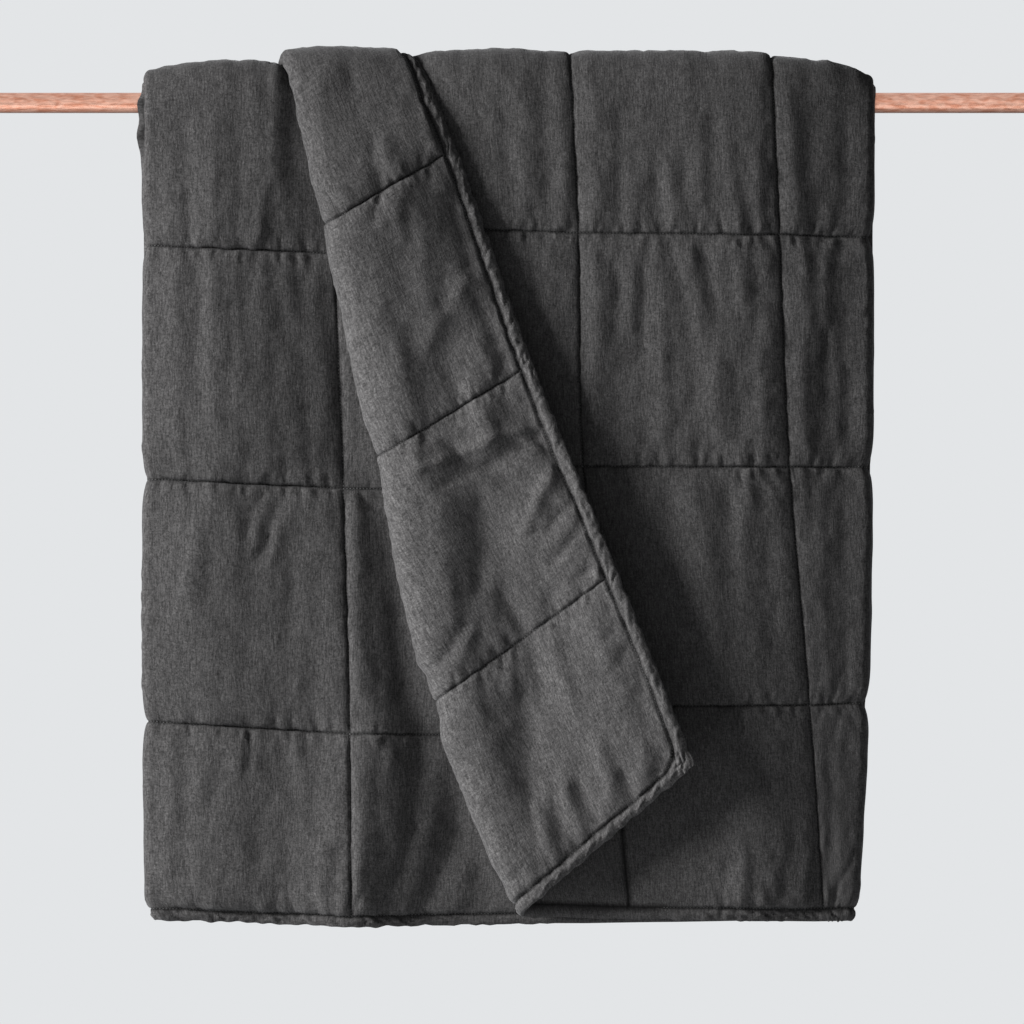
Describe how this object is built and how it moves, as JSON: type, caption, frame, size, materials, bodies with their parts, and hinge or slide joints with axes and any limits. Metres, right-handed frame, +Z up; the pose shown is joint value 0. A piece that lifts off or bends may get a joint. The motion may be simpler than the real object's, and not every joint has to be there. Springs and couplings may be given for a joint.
{
  "type": "linen quilt on a copper rod",
  "caption": "Box-quilted linen quilt folded in three and hung over a round copper rod, with the top panel's front edge turned back.",
  "frame": {"origin": "middle of the rod's axis", "axes": "+Z up, +X along the rod, the quilt's front with the turned-back flap towards -Y"},
  "size_m": [1.2, 0.1611, 0.9521],
  "materials": {
    "linen": "washed slubby linen, matt",
    "copper": "satin drawn copper"
  },
  "bodies": {
    "root": {"quilt": "linen", "rod": "copper"}
  },
  "joints": []
}
